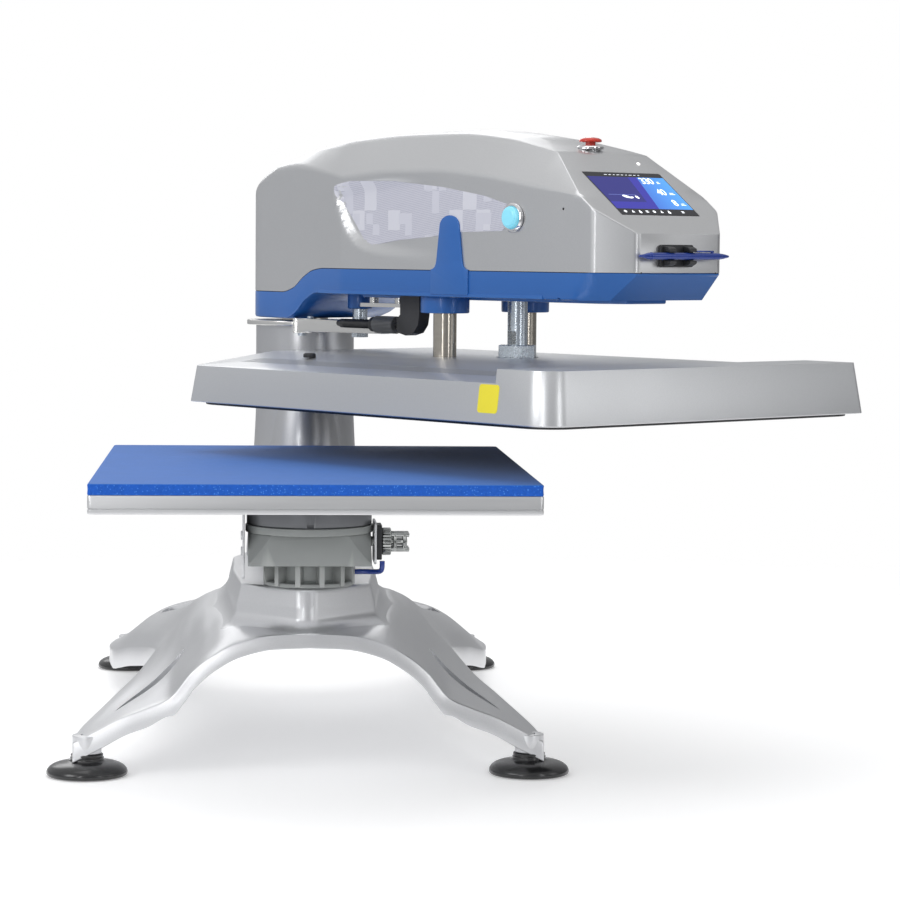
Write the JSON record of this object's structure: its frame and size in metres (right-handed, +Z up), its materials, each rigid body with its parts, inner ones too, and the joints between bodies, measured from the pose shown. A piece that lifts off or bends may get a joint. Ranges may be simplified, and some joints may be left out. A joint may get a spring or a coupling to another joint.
{
  "type": "heat press",
  "caption": "Swing-away heat press with a drawer-style padded lower platen on a pedestal, heated upper platen, arched four-legged base and inclined touch display.",
  "frame": {"origin": "centre of the bounding box on the floor, under the four levelling feet", "axes": "+Z up; -Y towards the user; +X to the user's right, the side the head is swung to at rest"},
  "size_m": [0.8, 1.0501, 0.6386],
  "materials": {
    "cast_silver": "satin painted casting",
    "painted_silver": "satin metallic paint",
    "pedestal_grey": "satin cast",
    "ring_grey": "turned",
    "platen_aluminium": "milled",
    "pad_blue": "matte foam",
    "shell_silver": "satin metallic paint",
    "tray_blue": "satin",
    "screen_glass": "gloss",
    "lens_white": "gloss",
    "ring_white": "gloss",
    "stop_red": "gloss",
    "chrome_trim": "polished",
    "black_plastic": "matte",
    "stylus_blue": "gloss",
    "black_rubber": "satin",
    "steel_bright": "ground",
    "zinc": "zinc plated",
    "brass": "turned",
    "board_green": "matte",
    "heater_black": "coated",
    "tube_blue": "gloss",
    "element": "oxidised"
  },
  "bodies": {
    "root": {"base_casting": "cast_silver", "column": "painted_silver", "column_bearings": "steel_bright", "swing_disc": "zinc"},
    "foot_fl": {"foot_front_left": "black_rubber"},
    "foot_fr": {"foot_front_right": "black_rubber"},
    "foot_rl": {"foot_rear_left": "black_rubber"},
    "foot_rr": {"foot_rear_right": "black_rubber"},
    "head": {"head_tray": "tray_blue", "tray_fins": "tray_blue", "head_shell": "shell_silver", "touch_screen": "screen_glass", "display_board": "board_green", "status_light": "lens_white", "start_button_rings": "ring_white", "stop_collar": "chrome_trim", "stylus_holder": "black_plastic", "head_spindle": "steel_bright", "head_beam": "cast_silver", "guide_bushings": "brass", "air_cylinder": "platen_aluminium", "power_supply": "platen_aluminium", "solenoid_valve": "black_plastic", "control_board": "board_green", "power_inlet": "black_plastic", "air_inlet": "brass", "stop_arm": "zinc", "stop_screws": "zinc", "pivot_plate": "zinc", "damper_body": "black_plastic", "damper_bracket": "black_plastic"},
    "press": {"platen_cover": "painted_silver", "heat_platen": "heater_black", "heating_element": "element", "platen_carrier": "platen_aluminium", "rod_nut": "zinc", "press_rod": "steel_bright", "piston": "platen_aluminium", "guide_posts": "steel_bright", "thermostat": "black_plastic", "cover_bumper": "black_rubber"},
    "carriage": {"pedestal_hub": "pedestal_grey", "pedestal_block": "pedestal_grey", "index_ring": "pedestal_grey", "swivel_ring": "ring_grey", "pedestal_side_plates": "zinc", "knob_bracket": "black_plastic", "air_tube": "tube_blue", "lower_platen": "platen_aluminium", "silicone_pad": "pad_blue"},
    "lock_knob": {"lock_knob": "zinc"},
    "button_near": {"start_button_near": "lens_white"},
    "button_far": {"start_button_far": "lens_white"},
    "stop_button": {"emergency_stop": "stop_red"},
    "stylus": {"stylus": "stylus_blue"},
    "damper_sleeve": {"damper_sleeve": "zinc"}
  },
  "joints": [
    {"name": "head_swing", "type": "hinge", "parent": "root", "child": "head", "pos_m": [-0.1418, 0.08301, 0.44], "axis": [0, 0, 1], "range_deg": [-37.49, 32.5]},
    {"name": "press_stroke", "type": "slide", "parent": "head", "child": "press", "axis": [0, 0, -1], "range_m": [0, 0.0489], "stiffness_N_per_m": 2000, "springref_m": -0.16},
    {"name": "platen_draw", "type": "slide", "parent": "root", "child": "carriage", "axis": [0, -1, 0], "range_m": [0, 0.12]},
    {"name": "lock_knob_turn", "type": "hinge", "parent": "carriage", "child": "lock_knob", "pos_m": [-0.0618, -0.19503, 0.226], "axis": [1, 0, 0], "continuous": true},
    {"name": "start_near_press", "type": "slide", "parent": "head", "child": "button_near", "axis": [0.7935, 0.6086, 0], "range_m": [0, 0.0025], "stiffness_N_per_m": 400},
    {"name": "start_far_press", "type": "slide", "parent": "head", "child": "button_far", "axis": [-0.7935, -0.6086, 0], "range_m": [0, 0.0025], "stiffness_N_per_m": 400},
    {"name": "stop_press", "type": "slide", "parent": "head", "child": "stop_button", "axis": [0, 0, -1], "range_m": [0, 0.003], "stiffness_N_per_m": 800},
    {"name": "stylus_pull", "type": "slide", "parent": "head", "child": "stylus", "axis": [0.6086, -0.7935, 0], "range_m": [0, 0.03]},
    {"name": "damper_sleeve_turn", "type": "hinge", "parent": "head", "child": "damper_sleeve", "pos_m": [-0.06133, -0.10733, 0.441], "axis": [0.6086, -0.7935, 0], "continuous": true},
    {"name": "foot_fl_turn", "type": "hinge", "parent": "root", "child": "foot_fl", "pos_m": [-0.36009, -0.24973, 0.02], "axis": [0, 0, 1], "continuous": true},
    {"name": "foot_fr_turn", "type": "hinge", "parent": "root", "child": "foot_fr", "pos_m": [0.07651, -0.24973, 0.02], "axis": [0, 0, 1], "continuous": true},
    {"name": "foot_rl_turn", "type": "hinge", "parent": "root", "child": "foot_rl", "pos_m": [-0.34749, 0.48517, 0.02], "axis": [0, 0, 1], "continuous": true},
    {"name": "foot_rr_turn", "type": "hinge", "parent": "root", "child": "foot_rr", "pos_m": [0.06391, 0.48517, 0.02], "axis": [0, 0, 1], "continuous": true}
  ]
}
